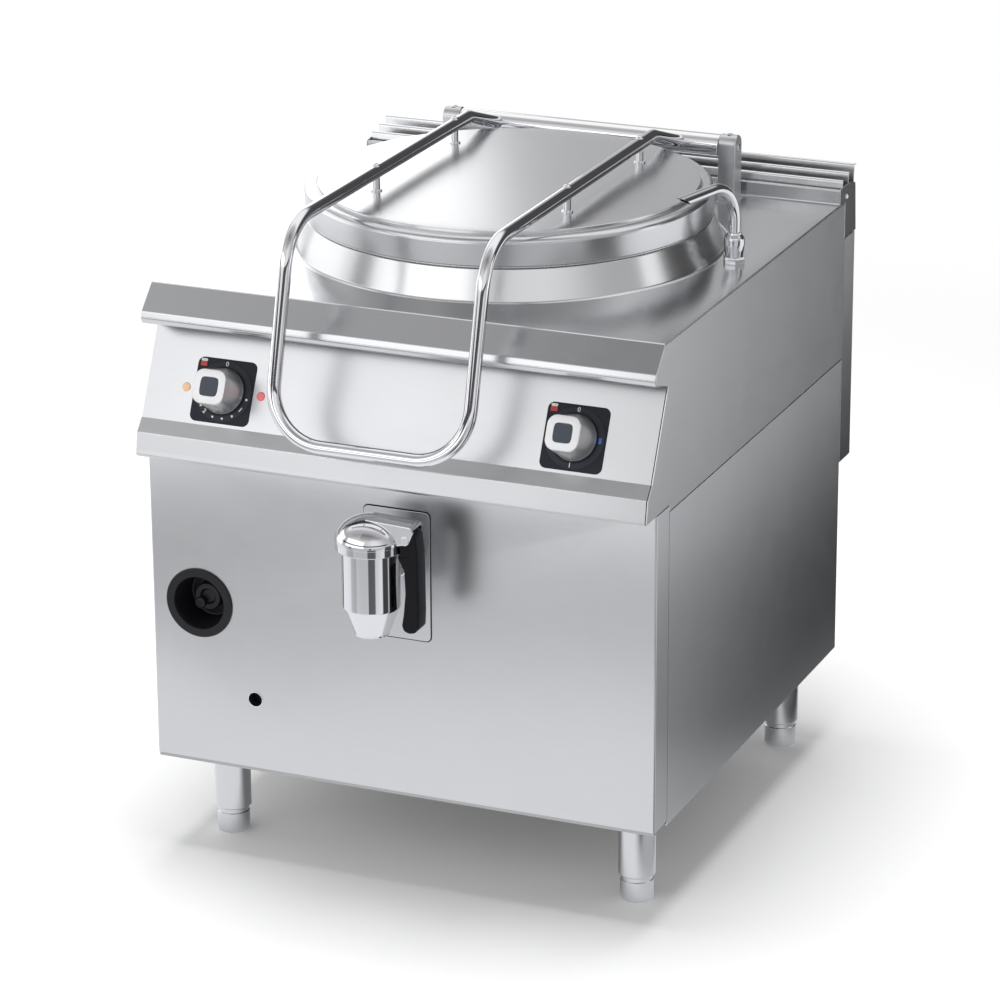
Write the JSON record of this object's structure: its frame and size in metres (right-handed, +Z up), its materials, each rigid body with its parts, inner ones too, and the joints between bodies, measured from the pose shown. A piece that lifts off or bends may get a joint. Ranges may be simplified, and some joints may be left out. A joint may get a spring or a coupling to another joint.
{
  "type": "steam jacketed kettle",
  "caption": "Free-standing gas kettle: jacketed round pan in a steel cabinet, hinged lid with bail handle, water spout, front drain tap, sloped control panel, rear flue louvres, screw feet.",
  "frame": {"origin": "centre of the outline, on the floor", "axes": "+X to the right seen from the front, +Y to the back, +Z up"},
  "size_m": [0.8, 1.0034, 1.0256],
  "materials": {
    "satin_steel": "satin brushed stainless steel",
    "plain_steel": "plain rolled stainless steel",
    "chrome": "polished chrome",
    "cast_iron": "dark heat-proof cast iron",
    "brass": "machined brass",
    "glass_wool": "matt glass wool",
    "black_plastic": "black satin moulded plastic",
    "slate_plastic": "dark slate moulded plastic",
    "silver_plastic": "satin silver plastic",
    "orange_lens": "pale orange lens",
    "red_lens": "coral red lens"
  },
  "bodies": {
    "cabinet": {"leg_tube_front_left": "satin_steel", "leg_tube_front_right": "satin_steel", "leg_tube_rear_left": "satin_steel", "leg_tube_rear_right": "satin_steel", "front_panel": "satin_steel", "side_panel_left": "satin_steel", "side_panel_right": "satin_steel", "back_panel": "satin_steel", "rear_duct_cover": "satin_steel", "worktop": "satin_steel", "control_panel": "satin_steel", "flue_housing": "satin_steel", "louvre_front": "satin_steel", "louvre_middle": "satin_steel", "louvre_rear": "satin_steel", "kettle_vessel": "satin_steel", "tap_plate": "satin_steel", "drain_pipe": "satin_steel", "hinge_post_left": "satin_steel", "hinge_post_right": "satin_steel", "base_frame": "plain_steel", "jacket_shell": "plain_steel", "combustion_chamber": "plain_steel", "flue_duct": "plain_steel", "water_pipe": "plain_steel", "hinge_shaft": "plain_steel", "lid_spring": "plain_steel", "tap_body": "chrome", "tap_cap": "chrome", "tap_pin": "chrome", "spout_gland": "chrome", "burner": "cast_iron", "gas_valve": "brass", "gas_pipe": "brass", "water_valve": "brass", "safety_valve": "brass", "insulation": "glass_wool", "recess_cup": "black_plastic", "heat_regulator": "slate_plastic", "dial_plate_left": "slate_plastic", "dial_plate_right": "slate_plastic", "lamp_orange": "orange_lens", "lamp_red": "red_lens"},
    "lid": {"lid_shell": "satin_steel", "lid_handle": "chrome", "lid_stud_front_left": "chrome", "lid_stud_front_right": "chrome", "lid_stud_rear_left": "chrome", "lid_stud_rear_right": "chrome", "hinge_tube": "chrome"},
    "tap_lever": {"tap_lever": "black_plastic"},
    "tap_plug": {"tap_plug": "chrome"},
    "spout": {"spout_tube": "chrome"},
    "knob_left": {"knob_left": "silver_plastic"},
    "knob_right": {"knob_right": "silver_plastic"},
    "valve_knob": {"valve_knob": "black_plastic"},
    "foot_front_left": {"leg_foot_front_left": "satin_steel"},
    "foot_front_right": {"leg_foot_front_right": "satin_steel"},
    "foot_rear_left": {"leg_foot_rear_left": "satin_steel"},
    "foot_rear_right": {"leg_foot_rear_right": "satin_steel"}
  },
  "joints": [
    {"name": "lid_hinge", "type": "hinge", "parent": "cabinet", "child": "lid", "pos_m": [0, 0.38875, 0.974], "axis": [-1, 0, 0], "range_deg": [0, 85]},
    {"name": "tap_lever_hinge", "type": "hinge", "parent": "cabinet", "child": "tap_lever", "pos_m": [0.061, -0.45025, 0.597], "axis": [0, -1, 0], "range_deg": [0, 75]},
    {"name": "tap_plug_lift", "type": "slide", "parent": "cabinet", "child": "tap_plug", "axis": [0, 0, 1], "range_m": [0, 0.0105]},
    {"name": "spout_swivel", "type": "hinge", "parent": "cabinet", "child": "spout", "pos_m": [0.352, 0.07875, 0.887], "axis": [0, 0, -1], "range_deg": [-15, 150]},
    {"name": "knob_left_turn", "type": "hinge", "parent": "cabinet", "child": "knob_left", "pos_m": [-0.275, -0.35379, 0.74253], "axis": [0, 0.9031, -0.4295], "range_deg": [0, 270]},
    {"name": "knob_right_turn", "type": "hinge", "parent": "cabinet", "child": "knob_right", "pos_m": [0.275, -0.35379, 0.74253], "axis": [0, 0.9031, -0.4295], "range_deg": [0, 180]},
    {"name": "valve_knob_turn", "type": "hinge", "parent": "cabinet", "child": "valve_knob", "pos_m": [-0.3228, -0.33225, 0.4092], "axis": [0, 1, 0], "range_deg": [0, 180]},
    {"name": "foot_screw_front_left", "type": "slide", "parent": "cabinet", "child": "foot_front_left", "axis": [0, 0, -1], "range_m": [-0.02, 0.025]},
    {"name": "foot_screw_front_right", "type": "slide", "parent": "cabinet", "child": "foot_front_right", "axis": [0, 0, -1], "range_m": [-0.02, 0.025]},
    {"name": "foot_screw_rear_left", "type": "slide", "parent": "cabinet", "child": "foot_rear_left", "axis": [0, 0, -1], "range_m": [-0.02, 0.025]},
    {"name": "foot_screw_rear_right", "type": "slide", "parent": "cabinet", "child": "foot_rear_right", "axis": [0, 0, -1], "range_m": [-0.02, 0.025]}
  ],
  "couplings": [
    {"joint": "tap_plug_lift", "follows": "tap_lever_hinge", "m_per_rad": 0.0076}
  ]
}
